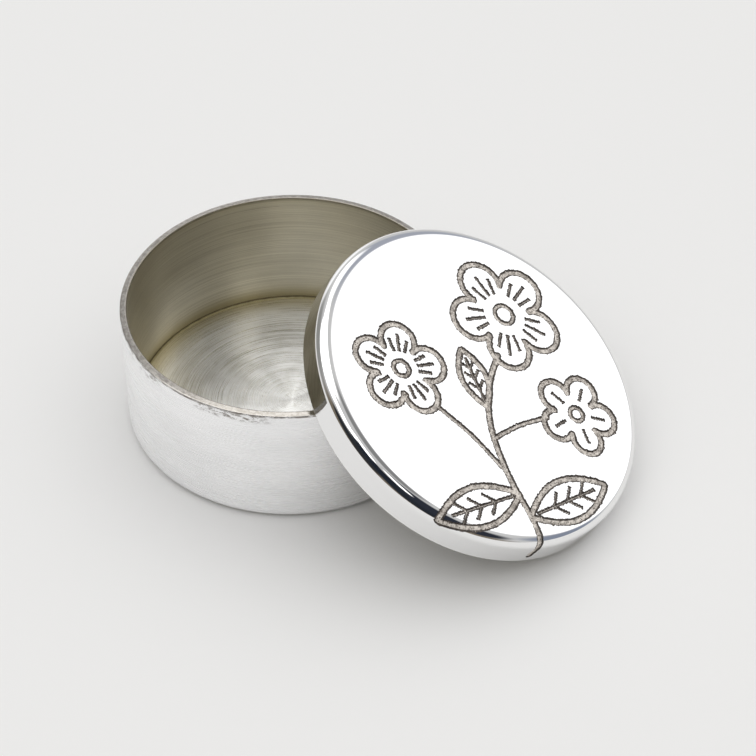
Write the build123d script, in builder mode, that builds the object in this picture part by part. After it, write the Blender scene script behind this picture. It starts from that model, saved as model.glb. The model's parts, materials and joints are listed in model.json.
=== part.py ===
"""Round metal pill box in millimetres: an open brushed base, and its polished lift-off lid.

The lid is off the base: its high side hangs over the opening, its low edge stands on the
table at +X, and its skirt rests on the base's rim. The origin is the centre of the base's
underside, +Z is up, and the lid's own axis leans from +Z towards +X.
"""
from build123d import *
import math
import os

# The base: a wall ring with a floor disc soldered into it
BASE_RADIUS = 19.0
BASE_HEIGHT = 15.9
BASE_WALL = 0.78
FLOOR_THICKNESS = 0.45
FOOT_ROUNDING = 1.5
RIM_ROUNDING = 0.12
SOLDER_LEG = 0.25

# The lid: a shallow cap that slips over the outside of the base
LID_WALL = 0.8
LID_FIT_CLEARANCE = 0.25
LID_HEIGHT = 4.1
LID_TOP_THICKNESS = 0.62
SHOULDER_ROUNDING = 1.1
MOUTH_ROUNDING = 0.1

# How the lid leans on the base
LID_TILT = 30.4
LID_CENTRE_X = 22.08
LID_CENTRE_Y = -1.22
TABLE_GAP = 0.12

# Worked out from the sizes above
base_bore = BASE_RADIUS - BASE_WALL
lid_bore = BASE_RADIUS + LID_FIT_CLEARANCE
lid_radius = lid_bore + LID_WALL
ceiling = LID_HEIGHT - LID_TOP_THICKNESS
tilt = math.radians(LID_TILT)
lid_axis = Vector(math.sin(tilt), 0, math.cos(tilt))
downhill = Vector(math.cos(tilt), 0, -math.sin(tilt))
mouth_centre = Vector(LID_CENTRE_X, LID_CENTRE_Y, lid_radius * math.sin(tilt) + TABLE_GAP)

# A half plane through the lid's axis: x runs outwards along the slope, y up the lid's axis
lid_profile = Plane(origin=mouth_centre, x_dir=downhill, z_dir=(0, -1, 0))


def corner_height(radius, outer_radius, rounding):
    """How far a rounded outer corner has fallen back, measured along the axis, at a radius."""
    across = radius - (outer_radius - rounding)
    return rounding - math.sqrt(rounding**2 - across**2)


os.makedirs("parts", exist_ok=True)


# Base wall: a ring whose lower outer corner is rounded into the foot
wall_foot = corner_height(base_bore, BASE_RADIUS, FOOT_ROUNDING)
with BuildPart() as base_wall:
    with BuildSketch(Plane.XZ):
        with BuildLine():
            Line((base_bore, wall_foot), (base_bore, BASE_HEIGHT))
            Line((base_bore, BASE_HEIGHT), (BASE_RADIUS, BASE_HEIGHT))
            Line((BASE_RADIUS, BASE_HEIGHT), (BASE_RADIUS, FOOT_ROUNDING))
            RadiusArc((BASE_RADIUS, FOOT_ROUNDING), (base_bore, wall_foot), FOOT_ROUNDING)
        make_face()
    revolve(axis=Axis.Z)
    rim = base_wall.faces().sort_by(Axis.Z)[-1]
    fillet(rim.edges(), RIM_ROUNDING)
base_wall.part.label = "base_wall"
export_step(base_wall.part, "parts/base_wall.step")


# Base floor: a disc inside the ring, its lower edge finishing the rounded corner
with BuildPart() as base_floor:
    with BuildSketch(Plane.XZ):
        with BuildLine():
            Line((0, 0), (0, FLOOR_THICKNESS))
            Line((0, FLOOR_THICKNESS), (base_bore, FLOOR_THICKNESS))
            Line((base_bore, FLOOR_THICKNESS), (base_bore, wall_foot))
            RadiusArc((base_bore, wall_foot), (BASE_RADIUS - FOOT_ROUNDING, 0), FOOT_ROUNDING)
            Line((BASE_RADIUS - FOOT_ROUNDING, 0), (0, 0))
        make_face()
    revolve(axis=Axis.Z)
base_floor.part.label = "base_floor"
export_step(base_floor.part, "parts/base_floor.step")


# Base solder: a fine fillet of solder with a straight face, in the corner of floor and wall
with BuildPart() as base_solder:
    with BuildSketch(Plane.XZ):
        with BuildLine():
            Polyline(
                (base_bore, FLOOR_THICKNESS),
                (base_bore, FLOOR_THICKNESS + SOLDER_LEG),
                (base_bore - SOLDER_LEG, FLOOR_THICKNESS),
                close=True,
            )
        make_face()
    revolve(axis=Axis.Z)
base_solder.part.label = "base_solder"
export_step(base_solder.part, "parts/base_solder.step")


# Lid skirt: the ring that slips over the base, with the outer half of the rounded shoulder
skirt_top = LID_HEIGHT - corner_height(lid_bore, lid_radius, SHOULDER_ROUNDING)
with BuildPart() as lid_skirt:
    with BuildSketch(lid_profile):
        with BuildLine():
            Line((lid_bore, skirt_top), (lid_bore, 0))
            Line((lid_bore, 0), (lid_radius, 0))
            Line((lid_radius, 0), (lid_radius, LID_HEIGHT - SHOULDER_ROUNDING))
            RadiusArc(
                (lid_radius, LID_HEIGHT - SHOULDER_ROUNDING),
                (lid_bore, skirt_top),
                -SHOULDER_ROUNDING,
            )
        make_face()
    revolve(axis=Axis(mouth_centre, lid_axis))
    mouth = lid_skirt.faces().sort_by(Axis(mouth_centre, lid_axis))[0]
    fillet(mouth.edges(), MOUTH_ROUNDING)
lid_skirt.part.label = "lid_skirt"
export_step(lid_skirt.part, "parts/lid_skirt.step")


# Lid top: a flat plate inside the skirt, its upper edge finishing the rounded shoulder
with BuildPart() as lid_top:
    with BuildSketch(lid_profile):
        with BuildLine():
            Line((0, ceiling), (0, LID_HEIGHT))
            Line((0, LID_HEIGHT), (lid_radius - SHOULDER_ROUNDING, LID_HEIGHT))
            RadiusArc(
                (lid_radius - SHOULDER_ROUNDING, LID_HEIGHT),
                (lid_bore, skirt_top),
                SHOULDER_ROUNDING,
            )
            Line((lid_bore, skirt_top), (lid_bore, ceiling))
            Line((lid_bore, ceiling), (0, ceiling))
        make_face()
    revolve(axis=Axis(mouth_centre, lid_axis))
lid_top.part.label = "lid_top"
export_step(lid_top.part, "parts/lid_top.step")


# Lid solder: the same fine fillet in the corner of ceiling and skirt
with BuildPart() as lid_solder:
    with BuildSketch(lid_profile):
        with BuildLine():
            Polyline(
                (lid_bore, ceiling),
                (lid_bore, ceiling - SOLDER_LEG),
                (lid_bore - SOLDER_LEG, ceiling),
                close=True,
            )
        make_face()
    revolve(axis=Axis(mouth_centre, lid_axis))
lid_solder.part.label = "lid_solder"
export_step(lid_solder.part, "parts/lid_solder.step")
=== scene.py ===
import json
import math

import bpy
import numpy as np
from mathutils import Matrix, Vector
from mathutils.geometry import delaunay_2d_cdt


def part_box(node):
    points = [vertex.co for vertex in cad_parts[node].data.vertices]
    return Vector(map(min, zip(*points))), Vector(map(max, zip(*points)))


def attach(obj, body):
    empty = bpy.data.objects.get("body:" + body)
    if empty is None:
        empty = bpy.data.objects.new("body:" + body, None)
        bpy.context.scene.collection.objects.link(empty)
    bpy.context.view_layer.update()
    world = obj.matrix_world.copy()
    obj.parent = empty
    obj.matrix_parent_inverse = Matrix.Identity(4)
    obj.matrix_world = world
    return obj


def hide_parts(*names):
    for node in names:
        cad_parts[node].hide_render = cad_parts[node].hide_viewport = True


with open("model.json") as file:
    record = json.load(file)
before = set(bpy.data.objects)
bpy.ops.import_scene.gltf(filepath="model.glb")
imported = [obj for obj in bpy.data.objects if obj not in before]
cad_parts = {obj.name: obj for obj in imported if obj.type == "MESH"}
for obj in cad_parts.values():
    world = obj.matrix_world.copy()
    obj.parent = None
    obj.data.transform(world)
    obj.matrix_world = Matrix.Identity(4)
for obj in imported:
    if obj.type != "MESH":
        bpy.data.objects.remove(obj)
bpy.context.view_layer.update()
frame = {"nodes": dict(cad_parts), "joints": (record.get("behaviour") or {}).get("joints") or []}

MM = 0.001
rng = np.random.default_rng(7)


# ---------------------------------------------------------------------------------------------
# Sizes and places, read from the frame
# ---------------------------------------------------------------------------------------------
def extent_along(node, direction):
    """Lowest and highest reach of a CAD node's vertices along a direction."""
    reach = [v.co.dot(direction) for v in frame["nodes"][node].data.vertices]
    return min(reach), max(reach)


wall_lo, wall_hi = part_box("base_wall")
floor_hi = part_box("base_floor")[1]
BASE_R = wall_hi.x
BASE_H = wall_hi.z
BORE_R = floor_hi.x
FLOOR_Z = floor_hi.z
FOOT_Z = wall_lo.z
# The foot's corner arc passes through (BORE_R, FOOT_Z) and is tangent to the wall and the table
foot_gap = BASE_R - BORE_R
FOOT_ROUND = foot_gap + FOOT_Z + math.sqrt(2 * foot_gap * FOOT_Z)

BASE_AXES = (Vector((1, 0, 0)), Vector((0, 1, 0)), Vector((0, 0, 1)))
LID_AXIS = Vector(frame["joints"][0]["axis"]).normalized()
ACROSS = Vector((0, 1, 0))
DOWNHILL = ACROSS.cross(LID_AXIS)
mouth_s = extent_along("lid_skirt", LID_AXIS)[0]
ceiling_s, plate_s = extent_along("lid_top", LID_AXIS)
side_lo, side_hi = extent_along("lid_skirt", ACROSS)
hill_lo, hill_hi = extent_along("lid_skirt", DOWNHILL)
LID_R = (side_hi - side_lo) / 2
LID_H = plate_s - mouth_s
CEILING = ceiling_s - mouth_s
plate_lo, plate_hi = extent_along("lid_top", ACROSS)
LID_BORE_R = (plate_hi - plate_lo) / 2
LID_ORIGIN = LID_AXIS * mouth_s + ACROSS * (side_lo + side_hi) / 2 + DOWNHILL * (hill_lo + hill_hi) / 2


# ---------------------------------------------------------------------------------------------
# Mesh helpers
# ---------------------------------------------------------------------------------------------
def add_mesh(name, verts, faces, materials, face_material):
    """A smooth-shaded mesh object with its vertices in the row frame."""
    mesh = bpy.data.meshes.new(name)
    mesh.from_pydata([tuple(v) for v in verts], [], [tuple(int(i) for i in f) for f in faces])
    for material in materials:
        mesh.materials.append(material)
    mesh.polygons.foreach_set("material_index", np.asarray(face_material, np.int32))
    mesh.polygons.foreach_set("use_smooth", np.full(len(mesh.polygons), True))
    mesh.update()
    obj = bpy.data.objects.new(name, mesh)
    bpy.context.scene.collection.objects.link(obj)
    return obj


def revolve(profile, segments):
    """Vertices and quads of a closed profile of (radius, height) turned about Z."""
    radius, height = np.asarray(profile, float).T
    angle = (np.arange(segments) * 2 * math.pi / segments)[:, None]
    verts = np.stack(np.broadcast_arrays(radius * np.cos(angle), radius * np.sin(angle), height), -1)
    count = len(profile)
    i = np.arange(segments)[:, None]
    j = np.arange(count)[None, :]
    k = (i + 1) % segments
    m = (j + 1) % count
    corners = (i * count + j, k * count + j, k * count + m, i * count + m)
    return verts.reshape(-1, 3), np.stack(np.broadcast_arrays(*corners), -1).reshape(-1, 4)


def arc(centre, radius, start, stop, steps):
    """Points of an arc in the (radius, height) plane, angles in degrees."""
    turn = np.radians(np.linspace(start, stop, steps))
    return [(centre[0] + radius * math.cos(a), centre[1] + radius * math.sin(a)) for a in turn]


# ---------------------------------------------------------------------------------------------
# Material helpers
# ---------------------------------------------------------------------------------------------
class Nodes:
    """A small writer for one material's node tree."""

    def __init__(self, name):
        self.material = bpy.data.materials.new(name)
        self.material.use_nodes = True
        self.tree = self.material.node_tree
        self.tree.nodes.clear()
        output = self.add("ShaderNodeOutputMaterial")
        self.shader = self.add("ShaderNodeBsdfPrincipled")
        self.link(self.shader.outputs["BSDF"], output.inputs["Surface"])

    def add(self, kind, **settings):
        node = self.tree.nodes.new(kind)
        for key, value in settings.items():
            setattr(node, key, value)
        return node

    def link(self, source, target):
        self.tree.links.new(source, target)

    def feed(self, socket, value):
        """Sets a socket to a plain value, or links another socket to it."""
        if hasattr(value, "links"):
            self.link(value, socket)
        else:
            socket.default_value = value

    def math(self, operation, *values):
        node = self.add("ShaderNodeMath", operation=operation)
        for socket, value in zip(node.inputs, values):
            self.feed(socket, value)
        return node.outputs[0]

    def ramp(self, value, low, high, out_low=0.0, out_high=1.0):
        """A smooth step from out_low at low to out_high at high."""
        node = self.add("ShaderNodeMapRange", interpolation_type="SMOOTHSTEP")
        for socket, number in zip(node.inputs, (value, low, high, out_low, out_high)):
            self.feed(socket, number)
        return node.outputs[0]

    def noise(self, vector, scale, detail=2.0, roughness=0.5):
        node = self.add("ShaderNodeTexNoise")
        self.link(vector, node.inputs["Vector"])
        node.inputs["Scale"].default_value = scale
        node.inputs["Detail"].default_value = detail
        node.inputs["Roughness"].default_value = roughness
        return node.outputs["Fac"]

    def mix(self, factor, first, second):
        node = self.add("ShaderNodeMix", data_type="RGBA")
        self.feed(node.inputs["Factor"], factor)
        self.feed(node.inputs["A"], first)
        self.feed(node.inputs["B"], second)
        return node.outputs["Result"]

    def combine(self, x, y, z):
        node = self.add("ShaderNodeCombineXYZ")
        for socket, value in zip(node.inputs, (x, y, z)):
            self.feed(socket, value)
        return node.outputs[0]

    def bump(self, height, distance, strength):
        node = self.add("ShaderNodeBump")
        node.inputs["Distance"].default_value = distance
        node.inputs["Strength"].default_value = strength
        self.link(height, node.inputs["Height"])
        return node.outputs["Normal"]


def turned_coordinates(nodes, on_lid=False):
    """Millimetres about the base's or the lid's own axis: unit direction, height and radius."""
    place = nodes.add("ShaderNodeTexCoord").outputs["Object"]
    origin, axes = (LID_ORIGIN, (DOWNHILL, ACROSS, LID_AXIS)) if on_lid else (Vector(), BASE_AXES)
    reach = []
    for axis in axes:
        dot = nodes.add("ShaderNodeVectorMath", operation="DOT_PRODUCT")
        nodes.link(place, dot.inputs[0])
        dot.inputs[1].default_value = axis
        offset = nodes.math("SUBTRACT", dot.outputs["Value"], origin.dot(axis))
        reach.append(nodes.math("MULTIPLY", offset, 1 / MM))
    x, y, z = reach
    squares = nodes.math("ADD", nodes.math("MULTIPLY", x, x), nodes.math("MULTIPLY", y, y))
    radius = nodes.math("MAXIMUM", nodes.math("SQRT", squares), 0.001)
    return nodes.math("DIVIDE", x, radius), nodes.math("DIVIDE", y, radius), z, radius


# ---------------------------------------------------------------------------------------------
# Materials
# ---------------------------------------------------------------------------------------------
def wrapped(n, turned, scale, third):
    """A place on a cylinder wound round the axis: larger scales give shorter marks round it."""
    cos_a, sin_a = turned[:2]
    return n.combine(n.math("MULTIPLY", cos_a, scale), n.math("MULTIPLY", sin_a, scale), third)


def brushed(n, turned, along, length, grain):
    """Fine marks that run round the axis, and broad patches of tone."""
    fine = wrapped(n, turned, length, n.math("MULTIPLY", along, grain))
    broad = wrapped(n, turned, 2.5, n.math("MULTIPLY", along, 0.3))
    return n.noise(fine, 1.0, 5.0, 0.7), n.noise(broad, 1.0, 3.0)


def blend_tones(n, first, second, share):
    """Two noises added, the first by its share."""
    return n.math("ADD", n.math("MULTIPLY", first, share), n.math("MULTIPLY", second, 1 - share))


def finish_metal(n, colour, roughness, streaks, relief, anisotropic=0.0):
    """Metal with roughness and relief that follow its brush marks."""
    shader = n.shader
    n.feed(shader.inputs["Base Color"], colour)
    shader.inputs["Metallic"].default_value = 1.0
    n.link(n.ramp(streaks, 0.3, 0.7, roughness * 0.8, roughness * 1.25), shader.inputs["Roughness"])
    n.link(n.bump(streaks, relief * MM, 0.6), shader.inputs["Normal"])
    if anisotropic:
        tangent = n.add("ShaderNodeTangent", direction_type="RADIAL", axis="Z")
        shader.inputs["Anisotropic"].default_value = anisotropic
        shader.inputs["Anisotropic Rotation"].default_value = 0.25
        n.link(tangent.outputs[0], shader.inputs["Tangent"])
    return n.material


def near_angle(n, turned, angle, full, outer):
    """1 within full degrees of an angle about the axis, falling to 0 at outer degrees."""
    a = math.radians(angle)
    along_x = n.math("MULTIPLY", turned[0], math.cos(a))
    toward = n.math("ADD", along_x, n.math("MULTIPLY", turned[1], math.sin(a)))
    return n.ramp(toward, math.cos(math.radians(outer)), math.cos(math.radians(full)))


def band(n, value, low, high, soft):
    """1 between low and high, falling softly to 0 on both sides."""
    rise = n.ramp(value, low - soft, low)
    fall = n.ramp(value, high, high + soft, 1.0, 0.0)
    return n.math("MULTIPLY", rise, fall)


# Scuffed places under the rim: angle about the axis, then where a scuff is full and where it ends
SCUFFS = ((-123, 3, 13), (-84, 5, 16))


def outer_wall():
    """Soft horizontal brushing, with scuffs and a worn line just under the rim, and a few pits."""
    n = Nodes("satin_outer")
    turned = turned_coordinates(n)
    z = turned[2]
    streaks, broad = brushed(n, turned, z, 1.1, 5.0)
    tone = blend_tones(n, streaks, broad, 0.45)
    colour = n.mix(n.ramp(tone, 0.38, 0.62), (0.925, 0.925, 0.93, 1), (0.985, 0.985, 0.99, 1))
    top = BASE_H / MM
    marks = n.noise(wrapped(n, turned, 16, n.math("MULTIPLY", z, 2.2)), 1.0, 5.0, 0.75)
    scuff_area = n.math("MAXIMUM", *[near_angle(n, turned, *scuff) for scuff in SCUFFS])
    scuff_area = n.math("MULTIPLY", scuff_area, band(n, z, top - 0.85, top - 0.15, 0.7))
    scuffs = n.math("MULTIPLY", scuff_area, n.ramp(marks, 0.47, 0.6))
    line = n.math("MULTIPLY", band(n, z, top - 0.3, top - 0.16, 0.08), n.ramp(marks, 0.36, 0.58))
    worn = n.math("MAXIMUM", n.math("MULTIPLY", scuffs, 0.85), n.math("MULTIPLY", line, 0.8))
    cells = n.add("ShaderNodeTexVoronoi")
    n.link(wrapped(n, turned, 19, z), cells.inputs["Vector"])
    cells.inputs["Scale"].default_value = 0.16
    pits = n.ramp(cells.outputs["Distance"], 0.01, 0.022, 0.8, 0.0)
    colour = n.mix(n.math("MAXIMUM", worn, pits), colour, (0.13, 0.10, 0.075, 1))
    return finish_metal(n, colour, 0.27, streaks, 0.0016, 0.5)


def inner_wall():
    """Olive-grey satin with fine marks round the bore, stained along the seam, and darker just under the
    rim.
    """
    n = Nodes("satin_inner")
    turned = turned_coordinates(n)
    z = turned[2]
    streaks, broad = brushed(n, turned, z, 0.9, 14.0)
    tone = blend_tones(n, streaks, broad, 0.85)
    colour = n.mix(n.ramp(tone, 0.3, 0.7), (0.62, 0.575, 0.455, 1), (0.92, 0.875, 0.735, 1))
    seam = n.ramp(z, FLOOR_Z / MM + 0.2, FLOOR_Z / MM + 2.2, 0.75, 0.0)
    colour = n.mix(seam, colour, (0.52, 0.46, 0.29, 1))
    edge = n.ramp(z, BASE_H / MM - 0.5, BASE_H / MM - 0.12, 0.0, 0.6)
    return finish_metal(n, n.mix(edge, colour, (0.28, 0.25, 0.2, 1)), 0.34, streaks, 0.006, 0.6)


def base_floor_top():
    """Disc brushed in circles, with an olive stain towards its edge."""
    n = Nodes("satin_floor")
    turned = turned_coordinates(n)
    radius = turned[3]
    streaks, broad = brushed(n, turned, radius, 1.1, 9.0)
    tone = blend_tones(n, streaks, broad, 0.7)
    colour = n.mix(n.ramp(tone, 0.36, 0.64), (0.62, 0.61, 0.575, 1), (1.0, 1.0, 0.985, 1))
    edge = n.ramp(radius, BORE_R / MM - 3.4, BORE_R / MM - 0.3, 0.0, 0.75)
    return finish_metal(n, n.mix(edge, colour, (0.50, 0.44, 0.26, 1)), 0.3, streaks, 0.012, 0.86)


def rim_top():
    """Lapped edge with a fine mottle, darker at its inner edge, the same all the way round."""
    n = Nodes("satin_rim")
    turned = turned_coordinates(n)
    radius = turned[3]
    mottle = n.noise(wrapped(n, turned, 34, n.math("MULTIPLY", radius, 3.0)), 1.0, 4.0, 0.65)
    colour = n.mix(n.ramp(mottle, 0.3, 0.7), (0.36, 0.335, 0.305, 1), (0.56, 0.535, 0.50, 1))
    inner = n.ramp(radius, BORE_R / MM + 0.16, BORE_R / MM + 0.05, 0.0, 0.8)
    return finish_metal(n, n.mix(inner, colour, (0.10, 0.085, 0.07, 1)), 0.2, mottle, 0.002, 0.3)


def solder(name, on_lid):
    """Dull fillet: brown where it meets the wall, yellow olive on its inner edge."""
    n = Nodes(name)
    turned = turned_coordinates(n, on_lid)
    z, radius = turned[2:]
    bore = (LID_BORE_R if on_lid else BORE_R) / MM
    lumps = n.noise(wrapped(n, turned, 22, z), 1.0, 4.0, 0.6)
    reach = n.math("ADD", radius, n.math("MULTIPLY", lumps, 0.1))
    colour = n.mix(n.ramp(reach, bore - 0.15, bore), (0.48, 0.42, 0.24, 1), (0.15, 0.12, 0.065, 1))
    return finish_metal(n, colour, 0.5, lumps, 0.03)


def lid_inside():
    """Satin inside of the lid, turned like the base, darker than the base's inside as painted shade under
    the lid.
    """
    n = Nodes("satin_lid_inside")
    turned = turned_coordinates(n, True)
    z, radius = turned[2:]
    streaks, broad = brushed(n, turned, n.math("ADD", radius, z), 1.4, 6.0)
    tone = blend_tones(n, streaks, broad, 0.6)
    colour = n.mix(n.ramp(tone, 0.36, 0.64), (0.44, 0.42, 0.35, 1), (0.72, 0.70, 0.62, 1))
    return finish_metal(n, colour, 0.34, streaks, 0.006)


def polished():
    """Mirror polish, faintly smudged."""
    n = Nodes("polished_metal")
    place = n.add("ShaderNodeTexCoord").outputs["Object"]
    smudge = n.noise(place, 90.0, 3.0)
    n.shader.inputs["Base Color"].default_value = (0.9, 0.9, 0.9, 1)
    n.shader.inputs["Metallic"].default_value = 1.0
    n.link(n.ramp(smudge, 0.4, 0.7, 0.02, 0.05), n.shader.inputs["Roughness"])
    return n.material


def engraved(name, dark, light, metallic, scale):
    """Punched metal: small dark dots on a paler ground, with patches of tone."""
    n = Nodes(name)
    place = n.add("ShaderNodeTexCoord").outputs["Object"]
    cells = n.add("ShaderNodeTexVoronoi")
    n.link(place, cells.inputs["Vector"])
    cells.inputs["Scale"].default_value = scale
    dots = n.ramp(cells.outputs["Distance"], 0.16, 0.5)
    patches = n.ramp(n.noise(place, 1300.0, 3.0, 0.7), 0.36, 0.62)
    tone = n.math("MULTIPLY", dots, n.math("ADD", n.math("MULTIPLY", patches, 0.6), 0.4))
    n.link(n.mix(tone, dark, light), n.shader.inputs["Base Color"])
    n.shader.inputs["Metallic"].default_value = metallic
    n.shader.inputs["Roughness"].default_value = 0.5
    n.link(n.bump(dots, 0.04 * MM, 0.7), n.shader.inputs["Normal"])
    return n.material


outer_metal = outer_wall()
inner_metal = inner_wall()
floor_metal = base_floor_top()
rim_metal = rim_top()
solder_metal = solder("solder_dull", False)
lid_solder_metal = solder("solder_lid", True)
inside_metal = lid_inside()
mirror_metal = polished()
groove_floor = engraved("engraved_floor", (0.13, 0.105, 0.085, 1), (0.84, 0.78, 0.71, 1), 0.2, 4300.0)
groove_wall = engraved("engraved_wall", (0.015, 0.012, 0.01, 1), (0.10, 0.08, 0.065, 1), 0.3, 3600.0)


# ---------------------------------------------------------------------------------------------
# The base: wall ring and floor disc
# ---------------------------------------------------------------------------------------------
# The lapped rim falls by this many degrees towards the outside
RIM_SLOPE = 9.0
RIM_EDGE = 0.12 * MM
WALL_SEGMENTS = 720
# Points along the stretches of the wall's profile
FOOT_STEPS, SIDE_STEPS, EDGE_STEPS, RIM_STEPS, BORE_STEPS = 10, 22, 4, 7, 18
# The wall ring's material slots
OUTSIDE, BORE, RIM = 0, 1, 2


def wall_profile():
    """Closed profile of the wall ring and a material slot for each of its edges."""
    flat_width = BASE_R - BORE_R - 2 * RIM_EDGE
    rim_fall = math.tan(math.radians(RIM_SLOPE)) * flat_width
    outer_top = BASE_H - rim_fall
    foot_start = math.degrees(math.asin((FOOT_Z - FOOT_ROUND) / FOOT_ROUND))
    outer = arc((BASE_R - FOOT_ROUND, FOOT_ROUND), FOOT_ROUND, foot_start, 0, FOOT_STEPS)
    outer += [(BASE_R, z) for z in np.linspace(FOOT_ROUND, outer_top - RIM_EDGE, SIDE_STEPS)[1:-1]]
    outer += arc((BASE_R - RIM_EDGE, outer_top - RIM_EDGE), RIM_EDGE, 0, 90 - RIM_SLOPE, EDGE_STEPS)
    across = np.linspace(0, 1, RIM_STEPS)[1:-1]
    flat = [(BASE_R - RIM_EDGE - flat_width * s, outer_top + rim_fall * s) for s in across]
    inner = arc((BORE_R + RIM_EDGE, BASE_H - RIM_EDGE), RIM_EDGE, 90, 180, EDGE_STEPS)
    inner += [(BORE_R, z) for z in np.linspace(BASE_H - RIM_EDGE, FLOOR_Z, BORE_STEPS)[1:]]
    # The rim's metal starts one step before the flat and ends one step after it
    slots = [OUTSIDE] * (len(outer) - 2) + [RIM] * (len(flat) + 3) + [BORE] * (len(inner) - 1)
    return outer + flat + inner, slots


profile, edge_slots = wall_profile()
ring_verts, ring_faces = revolve(profile, WALL_SEGMENTS)
wall_metals = [outer_metal, inner_metal, rim_metal]
ring_slots = np.tile(edge_slots, WALL_SEGMENTS)
base_ring = add_mesh("base_wall_ring", ring_verts, ring_faces, wall_metals, ring_slots)
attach(base_ring, "base")
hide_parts("base_wall")

kept_nodes = (("base_floor", floor_metal), ("base_solder", solder_metal), ("lid_solder", lid_solder_metal))
for node, material in kept_nodes:
    obj = frame["nodes"][node]
    obj.data.materials.clear()
    obj.data.materials.append(material)


# ---------------------------------------------------------------------------------------------
# The engraving: a plain blossom sprig, drawn upright in millimetres about the lid's centre
# ---------------------------------------------------------------------------------------------
# Widths of the lines, and the depth of the grooves and the width of their sloping walls
BOLD, MEDIUM, SLIM = 0.9, 0.7, 0.52
GROOVE_DEPTH = 0.13
WALL_WIDTH = 0.11
# A line is a solid core with a row of uneven beads along each side
CORE_PITCH, CORE_INSET = 0.12, 0.1
BEAD_PITCH, BEAD_INSET, BEAD_R, BEAD_JITTER = 0.23, 0.13, 0.135, 0.02
# Distances are worked out this far beyond a line, and are FAR everywhere else
FIELD_REACH, FAR = 0.6, 5.0
# The sprig stands upright when its right-hand side is turned this far from downhill
SPRIG_TURN = 38.0
CURVE_STEPS = 24
PETALS = 5
PETAL_POWER = 0.55
EYE_SHARE = 0.17
# A petal's veins as (degrees off its middle, reach): three where the flower is larger than this
THREE_VEIN_SIZE = 5.5
THREE_VEINS = ((-17, 0.66), (0, 0.76), (17, 0.66))
ONE_VEIN = ((0, 0.72),)
VEIN_START = 0.4
LEAF_POWER = 0.85
LEAF_VEINS = (0.3, 0.48, 0.66)


def smooth_path(points, step):
    """Points every step along a Catmull-Rom curve through given points."""
    p = np.array([points[0], *points, points[-1]], float)
    t = np.linspace(0, 1, CURVE_STEPS, endpoint=False)[:, None]
    pieces = []
    for a, b, c, d in zip(p, p[1:], p[2:], p[3:]):
        pieces.append(0.5 * (2 * b + (c - a) * t + (2 * a - 5 * b + 4 * c - d) * t**2
                             + (3 * b - a - 3 * c + d) * t**3))
    return even_path(np.vstack(pieces + [p[-1:]]), step)


def even_path(line, step):
    """The same line with points every step."""
    length = np.concatenate([[0], np.cumsum(np.hypot(*np.diff(line, axis=0).T))])
    at = np.linspace(0, length[-1], max(int(length[-1] / step), 2))
    return np.stack([np.interp(at, length, line[:, i]) for i in range(2)], 1)


def left_normal(line):
    """Unit vectors to the left of a line at each of its points."""
    run = np.gradient(line, axis=0)
    run /= np.maximum(np.hypot(*run.T), 1e-9)[:, None]
    return np.column_stack([-run[:, 1], run[:, 0]])


def around(centre, radii, angles):
    """Points at distances and angles about a centre."""
    return np.column_stack([centre[0] + radii * np.cos(angles), centre[1] + radii * np.sin(angles)])


def blossom(centre, size, turn):
    """A five-petalled flower as (width, path): outline, eye, and a vein or three in each petal."""
    veins = THREE_VEINS if size > THREE_VEIN_SIZE else ONE_VEIN
    angle = np.linspace(0, 2 * math.pi, 400)
    petal = np.abs(np.sin(PETALS * angle / 2)) ** PETAL_POWER
    yield BOLD, around(centre, size * (0.5 + 0.5 * petal), angle + math.radians(turn))
    yield MEDIUM, around(centre, np.full(60, size * EYE_SHARE), np.linspace(0, 2 * math.pi, 60))
    for k in range(PETALS):
        for spread, reach in veins:
            way = math.radians(turn + 360 / PETALS * (k + 0.5) + spread)
            yield SLIM, around(centre, size * np.linspace(VEIN_START, reach, 8), np.full(8, way))


def leaf(stalk, length, width, turn):
    """A pointed leaf as (width, path): two edges, a midrib and pairs of side veins."""
    way = math.radians(turn)
    along = np.array([math.cos(way), math.sin(way)])
    aside = np.array([-math.sin(way), math.cos(way)])
    share = np.linspace(0, 1, 60)[:, None]
    for side in (-1, 1):
        bulge = side * width / 2 * np.sin(math.pi * share) ** LEAF_POWER
        yield BOLD, stalk + length * share * along + bulge * aside
    yield SLIM, stalk + length * np.linspace(0.08, 0.84, 30)[:, None] * along
    for root in LEAF_VEINS:
        for side in (-1, 1):
            run = np.linspace(0.14, 1, 8)[:, None] * width * 0.27
            yield SLIM, stalk + length * root * along + run * (along + side * aside)


# Blossoms as (centre, size, turn), and leaves as (stalk, length, width, turn), turns in degrees
BLOSSOMS = (((4.6, 8.9), 7.0, 14), ((-10.4, 0.2), 5.6, 50), ((11.4, -3.2), 5.0, 30))
LEAVES = (((1.4, -14.0), 11.4, 4.6, 200), ((2.4, -16.6), 11.6, 4.8, 24), ((-0.3, -3.4), 7.2, 3.4, 105))
STEM = ((3.4, -22.2), (2.6, -17.5), (0.6, -12.0), (-0.4, -6.0), (0.6, -0.6), (2.6, 3.4))
TWIGS = (((0.5, -11.6), (-3.0, -7.4), (-6.6, -4.2)), ((-0.3, -7.4), (3.4, -5.4), (7.4, -4.0)))
PATH_STEP = 0.1


def sprig():
    """Every line of the engraving as (width, path), turned to lie on the lid."""
    lines = [(BOLD, smooth_path(STEM, PATH_STEP))]
    lines += [(MEDIUM, smooth_path(twig, PATH_STEP)) for twig in TWIGS]
    for centre, size, turn in BLOSSOMS:
        lines += blossom(centre, size, turn)
    for stalk, length, width, turn in LEAVES:
        lines += leaf(np.array(stalk), length, width, turn)
    tilt = math.radians(SPRIG_TURN)
    lay = np.array([[math.cos(tilt), math.sin(tilt)], [-math.sin(tilt), math.cos(tilt)]])
    return [(width, np.asarray(path, float) @ lay) for width, path in lines]


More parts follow.
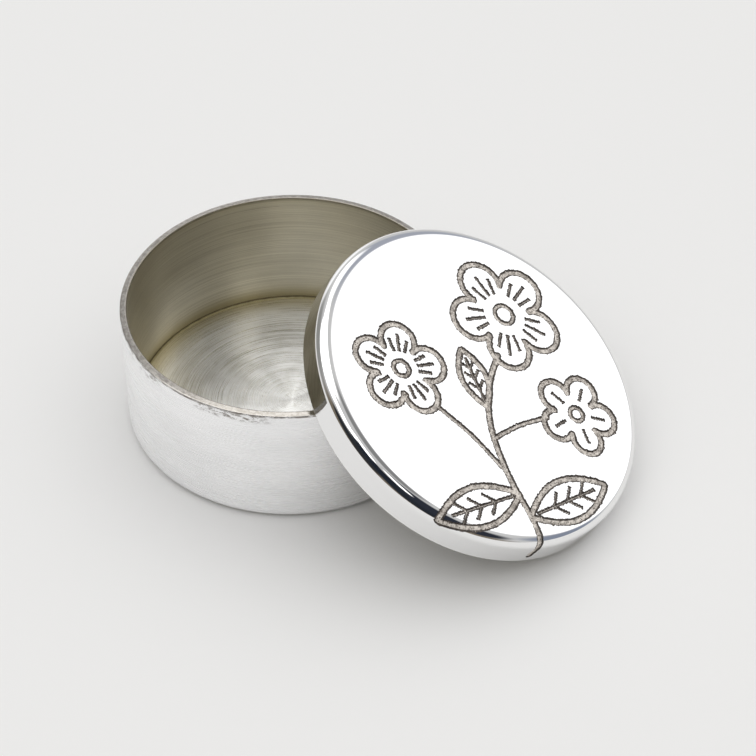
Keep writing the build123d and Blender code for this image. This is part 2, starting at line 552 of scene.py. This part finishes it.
def punch_field(half_size, cell):
    """Distance in millimetres to the edge of the punched lines, on a grid: negative inside."""
    count = int(round(2 * half_size / cell)) + 1
    axis = np.linspace(-half_size, half_size, count)
    field = np.full((count, count), FAR)

    def press(points, radii, reach):
        """Lowers the field round each point to the distance from a disc of its radius."""
        span = int(reach / cell) + 1
        for (x, y), radius in zip(points, radii):
            i = int((x + half_size) / cell)
            j = int((y + half_size) / cell)
            if not (span < i < count - span and span < j < count - span):
                continue
            rows = slice(i - span, i + span + 1)
            columns = slice(j - span, j + span + 1)
            gap = np.hypot(axis[rows, None] - x, axis[None, columns] - y) - radius
            np.minimum(field[rows, columns], gap, out=field[rows, columns])

    for width, line in sprig():
        path = even_path(line, CORE_PITCH)
        core = width / 2 - CORE_INSET
        press(path, np.full(len(path), core), core + FIELD_REACH)
        for side in (-1, 1):
            row = even_path(line + left_normal(line) * side * (width / 2 - BEAD_INSET), BEAD_PITCH)
            row = row + rng.normal(0, BEAD_JITTER, row.shape)
            press(row, BEAD_R + rng.normal(0, BEAD_JITTER, len(row)), FIELD_REACH)
    return axis, field


def sample(axis, field, points):
    """The field's value at points, by bilinear interpolation."""
    cell = axis[1] - axis[0]
    at = np.clip((np.asarray(points) - axis[0]) / cell, 0, len(axis) - 1.001)
    i, j = at[:, 0].astype(int), at[:, 1].astype(int)
    fx, fy = at[:, 0] - i, at[:, 1] - j
    return ((field[i, j] * (1 - fx) + field[i + 1, j] * fx) * (1 - fy)
            + (field[i, j + 1] * (1 - fx) + field[i + 1, j + 1] * fx) * fy)


# Values and points closer than this count as the same
TOLERANCE = 1e-5
# A contour cuts a cell's side at least this share away from its ends, so that no triangle is a sliver
CUT_MARGIN = 0.08


def contour(axis, field, level):
    """Marching squares: points on the level line, and the index pairs that join them."""
    g = field - level
    g = np.where(np.abs(g) < TOLERANCE, TOLERANCE, g)
    index = {}
    points = []

    def cut(i, j, di, dj):
        key = (i, j, di, dj)
        if key not in index:
            share = g[i, j] / (g[i, j] - g[i + di, j + dj])
            share = min(max(share, CUT_MARGIN), 1 - CUT_MARGIN)
            cell = axis[1] - axis[0]
            index[key] = len(points)
            points.append((axis[i] + di * share * cell, axis[j] + dj * share * cell))
        return index[key]

    inside = g < 0
    corner = inside[:-1, :-1].astype(int) + inside[1:, :-1] * 2 + inside[1:, 1:] * 4 + inside[:-1, 1:] * 8
    edges = []
    for i, j in zip(*np.nonzero((corner > 0) & (corner < 15))):
        sides = {
            "bottom": (i, j, 1, 0),
            "right": (i + 1, j, 0, 1),
            "top": (i, j + 1, 1, 0),
            "left": (i, j, 0, 1),
        }
        crossed = [k for k, (a, b, da, db) in sides.items() if inside[a, b] != inside[a + da, b + db]]
        if len(crossed) == 4 and inside[i, j]:
            pairs = (("bottom", "left"), ("right", "top"))
        elif len(crossed) == 4:
            pairs = (("bottom", "right"), ("left", "top"))
        else:
            pairs = (tuple(crossed),)
        for a, b in pairs:
            edges.append((cut(*sides[a]), cut(*sides[b])))
    return np.array(points), np.array(edges)


# ---------------------------------------------------------------------------------------------
# The lid's shell: the outside is flattened to a disc, meshed round the grooves, and folded back
# ---------------------------------------------------------------------------------------------
LID_R_MM = LID_R / MM
LID_H_MM = LID_H / MM
LIP_MM = 0.1
# The crown bends from the flat top to the side as a superellipse
CROWN_WIDTH = 1.7
CROWN_DROP = 1.3
CROWN_POWER = 2.35
RING_SEGMENTS = 720
CELL = 0.065
# Spare points stay this far from the grooves' edges, and grooves this far from the mouth
KEEP_OFF = 0.05
MOUTH_MARGIN = 0.35
BEND_RINGS, BEND_POINTS = 15, 540
SIDE_RINGS, SIDE_POINTS = 5, 480
COARSE_HALF, COARSE_PITCH = 18, 1.5
STIPPLE_PITCH, STIPPLE_JITTER = 0.17, 0.05
# A groove's floor is uneven between these depths, starting this far in from its walls
PUNCH_LOW, PUNCH_HIGH, PUNCH_MARGIN = -0.035, 0.02, 0.02
# The lid shell's material slots
MIRROR, GROOVE_FLOOR, GROOVE_WALL, INSIDE = 0, 1, 2, 3
LID_BASIS = np.array([DOWNHILL, ACROSS, LID_AXIS])


def crown_table():
    """The lid's outer profile by its length from the centre: radius, height, and the normal's tilt."""
    t = np.linspace(0, math.pi / 2, 400)
    r = LID_R_MM - CROWN_WIDTH + CROWN_WIDTH * np.sin(t) ** (2 / CROWN_POWER)
    z = LID_H_MM - CROWN_DROP + CROWN_DROP * np.cos(t) ** (2 / CROWN_POWER)
    r = np.concatenate([[0], r, [LID_R_MM]])
    z = np.concatenate([[LID_H_MM], z, [LIP_MM]])
    run = np.concatenate([[0], np.cumsum(np.hypot(np.diff(r), np.diff(z)))])
    x = np.clip((r[1:-1] - LID_R_MM + CROWN_WIDTH) / CROWN_WIDTH, 0, 1)
    y = np.clip((z[1:-1] - LID_H_MM + CROWN_DROP) / CROWN_DROP, 0, 1)
    bend = np.arctan2(x ** (CROWN_POWER - 1) / CROWN_WIDTH, y ** (CROWN_POWER - 1) / CROWN_DROP)
    return run, r, z, np.concatenate([[0], bend, [math.pi / 2]])


CROWN = crown_table()
FLAT_R = LID_R_MM - CROWN_WIDTH
SHEET_R = CROWN[0][-1]
CROWN_END = CROWN[0][-2]


def fold(flat, depth):
    """Flattened lid points taken to lid space, sunk by a depth, and the surface's normals there."""
    run, r, z, bend = CROWN
    reach = np.hypot(flat[:, 0], flat[:, 1])
    unit = flat / np.maximum(reach, 1e-9)[:, None]
    tilt = np.interp(reach, run, bend)
    normal = np.column_stack([unit * np.sin(tilt)[:, None], np.cos(tilt)])
    place = np.column_stack([unit * np.interp(reach, run, r)[:, None], np.interp(reach, run, z)])
    return place - normal * depth[:, None], normal


def to_row(local):
    """Lid space in millimetres to the row frame in metres."""
    return np.asarray(local) @ LID_BASIS * MM + np.array(LID_ORIGIN)


def ring(radius, count, offset=0.0):
    """Points round a circle."""
    a = (np.arange(count) + offset) * 2 * math.pi / count
    return np.column_stack([radius * np.cos(a), radius * np.sin(a)])


def spare_points(axis, field):
    """Points that shape the plain surface: rings over the bend and the side, a coarse grid on top."""
    bend_radii = np.linspace(FLAT_R, CROWN_END, BEND_RINGS)
    side_radii = np.linspace(CROWN_END, SHEET_R, SIDE_RINGS)[1:-1]
    bend = [ring(r, BEND_POINTS, 0.5 * k) for k, r in enumerate(bend_radii)]
    side = [ring(r, SIDE_POINTS, 0.5 * k) for k, r in enumerate(side_radii)]
    line = np.arange(-COARSE_HALF, COARSE_HALF + 1, COARSE_PITCH)
    coarse = np.stack(np.meshgrid(line, line), -1).reshape(-1, 2)
    coarse = coarse[np.hypot(*coarse.T) < FLAT_R - 0.5]
    spare = np.vstack(bend + side + [coarse])
    value = sample(axis, field, spare)
    return spare[(np.abs(value) > KEEP_OFF) & (np.abs(value + WALL_WIDTH) > KEEP_OFF)]


def stipple_points(axis, field):
    """Uneven points over the floors of the grooves, where the punch has struck."""
    line = np.arange(-SHEET_R, SHEET_R, STIPPLE_PITCH)
    grid = np.stack(np.meshgrid(line, line), -1).reshape(-1, 2)
    grid = grid + rng.uniform(-STIPPLE_JITTER, STIPPLE_JITTER, grid.shape)
    return grid[sample(axis, field, grid) < -WALL_WIDTH - KEEP_OFF]


def flat_sheet(axis, field):
    """The flattened outside as points and triangles, and its border's points in order."""
    outline, outline_edges = contour(axis, field, 0.0)
    inline, inline_edges = contour(axis, field, -WALL_WIDTH)
    parts = [ring(SHEET_R, RING_SEGMENTS), outline, inline]
    parts += [spare_points(axis, field), stipple_points(axis, field)]
    start = np.cumsum([0] + [len(part) for part in parts])
    loop = np.column_stack([np.arange(RING_SEGMENTS), (np.arange(RING_SEGMENTS) + 1) % RING_SEGMENTS])
    edges = np.vstack([loop, outline_edges + start[1], inline_edges + start[2]])
    verts, _, faces, origin, _, _ = delaunay_2d_cdt(
        [Vector(point) for point in np.vstack(parts)],
        [tuple(map(int, edge)) for edge in edges], [], 0, TOLERANCE
    )
    vert_of = {source: k for k, sources in enumerate(origin) for source in sources if source < RING_SEGMENTS}
    border = np.array([vert_of[k] for k in range(RING_SEGMENTS)])
    return np.array([tuple(v) for v in verts]), np.array([f for f in faces if len(f) == 3]), border


def groove_depth(value):
    """Depth below the surface: none outside the lines, sloping walls, and an uneven punched floor."""
    level = np.clip(-value / WALL_WIDTH, 0, 1)
    uneven = rng.uniform(PUNCH_LOW, PUNCH_HIGH, len(value))
    return GROOVE_DEPTH * level + np.where(value < -WALL_WIDTH - PUNCH_MARGIN, uneven, 0)


def turned_inside(border, first):
    """The lip, bore and ceiling as points and faces, turned from the border's own points."""
    bore, ceiling = LID_BORE_R / MM, CEILING / MM
    bend = LIP_MM * 0.3
    profile = [
        (LID_R_MM - bend, bend), (LID_R_MM - LIP_MM, 0),
        (bore + LIP_MM, 0), (bore + bend, bend), (bore, LIP_MM),
        (bore, ceiling / 2), (bore, ceiling), (bore * 0.6, ceiling), (bore * 0.25, ceiling),
    ]
    points = [np.column_stack([ring(r, RING_SEGMENTS), np.full(RING_SEGMENTS, h)]) for r, h in profile]
    rows = [border] + [first + k * RING_SEGMENTS + np.arange(RING_SEGMENTS) for k in range(len(profile))]
    after = np.roll(np.arange(RING_SEGMENTS), -1)
    faces = []
    for upper, lower in zip(rows, rows[1:]):
        faces += list(zip(upper, lower, lower[after], upper[after]))
    middle = first + len(profile) * RING_SEGMENTS
    faces += [(rows[-1][k], middle, rows[-1][after[k]]) for k in range(RING_SEGMENTS)]
    return np.vstack(points + [np.array([[0, 0, ceiling]])]), faces


def lid_shell():
    """The lid's shell as one closed mesh, and the surface's normal at each point of its outside."""
    axis, field = punch_field(SHEET_R + 0.5, CELL)
    gx, gy = np.meshgrid(axis, axis, indexing="ij")
    field = np.maximum(field, np.hypot(gx, gy) - (SHEET_R - MOUTH_MARGIN))
    flat, tris, border = flat_sheet(axis, field)
    place, normal = fold(flat, groove_depth(sample(axis, field, flat)))
    middle = sample(axis, field, flat[tris].mean(1))
    slots = np.where(middle > 0, MIRROR, np.where(middle > -WALL_WIDTH, GROOVE_WALL, GROOVE_FLOOR))
    inside, inside_faces = turned_inside(border, len(flat))
    faces = [tuple(t) for t in tris] + inside_faces
    slots = list(slots) + [INSIDE] * len(inside_faces)
    metals = [mirror_metal, groove_floor, groove_wall, inside_metal]
    verts = to_row(np.vstack([place, inside]))
    return add_mesh("lid_shell", verts, faces, metals, slots), normal @ LID_BASIS


def keep_polish_smooth(obj, normals):
    """Shades the mirror by the true surface's normals, and every other face flat."""
    loop_normals = []
    for polygon in obj.data.polygons:
        if polygon.material_index == MIRROR:
            loop_normals += [tuple(normals[v]) for v in polygon.vertices]
        else:
            loop_normals += [tuple(polygon.normal)] * len(polygon.vertices)
    obj.data.normals_split_custom_set(loop_normals)


lid, lid_normals = lid_shell()
keep_polish_smooth(lid, lid_normals)
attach(lid, "lid")
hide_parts("lid_top", "lid_skirt")


# ---------------------------------------------------------------------------------------------
# Stage: floor, studio light, camera
# ---------------------------------------------------------------------------------------------
PAPER = (0.86, 0.855, 0.845)
PAPER_TONE = (0.84, 0.838, 0.83)
FLOOR_HALF = 3.0
# The main camera, in degrees and millimetres
CAMERA_ELEVATION = 42.86
CAMERA_AZIMUTH = 24.0
CAMERA_VIEW = 18.37
CAMERA_DISTANCE = 264.4
CAMERA_AIM = Vector((10.93, -0.04, 8.0))
SENSOR_WIDTH = 36.0


def stage_floor():
    """A plain matt paper floor."""
    h = FLOOR_HALF
    mesh = bpy.data.meshes.new("floor")
    mesh.from_pydata([(-h, -h, 0), (h, -h, 0), (h, h, 0), (-h, h, 0)], [], [(0, 1, 2, 3)])
    obj = bpy.data.objects.new("floor", mesh)
    bpy.context.scene.collection.objects.link(obj)
    n = Nodes("floor_paper")
    n.shader.inputs["Base Color"].default_value = (*PAPER, 1)
    n.shader.inputs["Roughness"].default_value = 1.0
    n.shader.inputs["Specular IOR Level"].default_value = 0.0
    obj.data.materials.append(n.material)


def studio_direction(elevation, azimuth):
    """A direction by its height above the table and its turn to the right of the camera's side."""
    turn = math.radians(azimuth + CAMERA_AZIMUTH)
    rise = math.radians(elevation)
    return Vector((math.sin(turn) * math.cos(rise), -math.cos(turn) * math.cos(rise), math.sin(rise)))


TO_CAMERA = studio_direction(CAMERA_ELEVATION, 0)
ROOM = (0.60, 0.60, 0.60)
# Soft boxes and shaded parts of the room: elevation, azimuth, full radius, outer radius, colour
STUDIO = [
    (22, -120, 10, 36, (0.28, 0.28, 0.27)),
    (34, 152, 10, 22, (0.38, 0.40, 0.46)),
    (4, 0, 40, 62, (0.20, 0.17, 0.13)),
    (4, -55, 30, 50, (0.18, 0.155, 0.12)),
    (8, 82, 8, 20, (0.24, 0.27, 0.34)),
    (30, 0, 24, 31, (0.020, 0.024, 0.032)),
    (27, -50, 19, 26, (0.026, 0.028, 0.032)),
    (36, 44, 20, 28, (0.026, 0.030, 0.042)),
    (50, -14, 14, 20, (0.014, 0.018, 0.028)),
    (7, -160, 8, 22, (1.1, 1.1, 1.1)),
    (66, -112, 18, 23, (2.0, 2.0, 2.0)),
    (72, 178, 15, 21, (1.9, 1.9, 1.88)),
    (47, 174, 8, 17, (1.45, 1.45, 1.44)),
    (70, -40, 10, 13, (2.2, 2.2, 2.18)),
    (67, 8, 6, 8, (2.2, 2.2, 2.18)),
    (55, 38, 5, 7, (1.8, 1.8, 1.78)),
    (58, 96, 9, 14, (0.24, 0.24, 0.24)),
    (26, 115, 18, 25, (1.35, 1.35, 1.36)),
]
# Light for the paper and the dull marks, by the sine of its height: low, high, and the two strengths
OVERHEAD = (0.2, 0.8, 0.08, 1.3)


def background(tree, colour):
    """A world background of one colour, or of a colour socket."""
    node = tree.nodes.new("ShaderNodeBackground")
    if hasattr(colour, "links"):
        tree.links.new(colour, node.inputs["Color"])
    else:
        node.inputs["Color"].default_value = (*colour, 1)
    return node


def studio_colour(tree, direction):
    """The room's colour in each direction: the studio's boxes and flags, laid on in order."""
    colour = None
    for elevation, azimuth, full, outer, tone in STUDIO:
        dot = tree.nodes.new("ShaderNodeVectorMath")
        dot.operation = "DOT_PRODUCT"
        dot.inputs[1].default_value = studio_direction(elevation, azimuth)
        tree.links.new(direction, dot.inputs[0])
        share = tree.nodes.new("ShaderNodeMapRange")
        share.interpolation_type = "SMOOTHSTEP"
        tree.links.new(dot.outputs["Value"], share.inputs[0])
        share.inputs[1].default_value = math.cos(math.radians(outer))
        share.inputs[2].default_value = math.cos(math.radians(full))
        mix = tree.nodes.new("ShaderNodeMix")
        mix.data_type = "RGBA"
        tree.links.new(share.outputs[0], mix.inputs["Factor"])
        if colour is None:
            mix.inputs["A"].default_value = (*ROOM, 1)
        else:
            tree.links.new(colour, mix.inputs["A"])
        mix.inputs["B"].default_value = (*tone, 1)
        colour = mix.outputs["Result"]
    return colour


def studio_world():
    """Glossy rays see the studio, camera rays plain paper, and all others a soft overhead light."""
    world = bpy.data.worlds.new("studio")
    bpy.context.scene.world = world
    world.use_nodes = True
    tree = world.node_tree
    tree.nodes.clear()
    output = tree.nodes.new("ShaderNodeOutputWorld")
    direction = tree.nodes.new("ShaderNodeTexCoord").outputs["Generated"]
    height = tree.nodes.new("ShaderNodeSeparateXYZ")
    tree.links.new(direction, height.inputs[0])
    overhead = tree.nodes.new("ShaderNodeMapRange")
    tree.links.new(height.outputs[2], overhead.inputs[0])
    for socket, number in zip(list(overhead.inputs)[1:5], OVERHEAD):
        socket.default_value = number
    shader = background(tree, (1, 1, 1))
    tree.links.new(overhead.outputs[0], shader.inputs["Strength"])
    path = tree.nodes.new("ShaderNodeLightPath")
    reflected = background(tree, studio_colour(tree, direction))
    plain = background(tree, PAPER_TONE)
    for ray, seen in (("Is Glossy Ray", reflected), ("Is Camera Ray", plain)):
        choose = tree.nodes.new("ShaderNodeMixShader")
        tree.links.new(path.outputs[ray], choose.inputs[0])
        tree.links.new(shader.outputs[0], choose.inputs[1])
        tree.links.new(seen.outputs[0], choose.inputs[2])
        shader = choose
    tree.links.new(shader.outputs[0], output.inputs["Surface"])


def add_camera():
    """The main camera, without depth of field or shift."""
    data = bpy.data.cameras.new("camera")
    data.sensor_width = SENSOR_WIDTH
    data.lens = SENSOR_WIDTH / 2 / math.tan(math.radians(CAMERA_VIEW / 2))
    data.clip_start, data.clip_end = 0.01, 20
    camera = bpy.data.objects.new("camera", data)
    bpy.context.scene.collection.objects.link(camera)
    camera.location = CAMERA_AIM * MM + TO_CAMERA * CAMERA_DISTANCE * MM
    camera.rotation_mode = "QUATERNION"
    camera.rotation_quaternion = (-TO_CAMERA).to_track_quat("-Z", "Y")
    bpy.context.scene.camera = camera


stage_floor()
studio_world()
add_camera()
bpy.context.scene.view_settings.view_transform = "Standard"
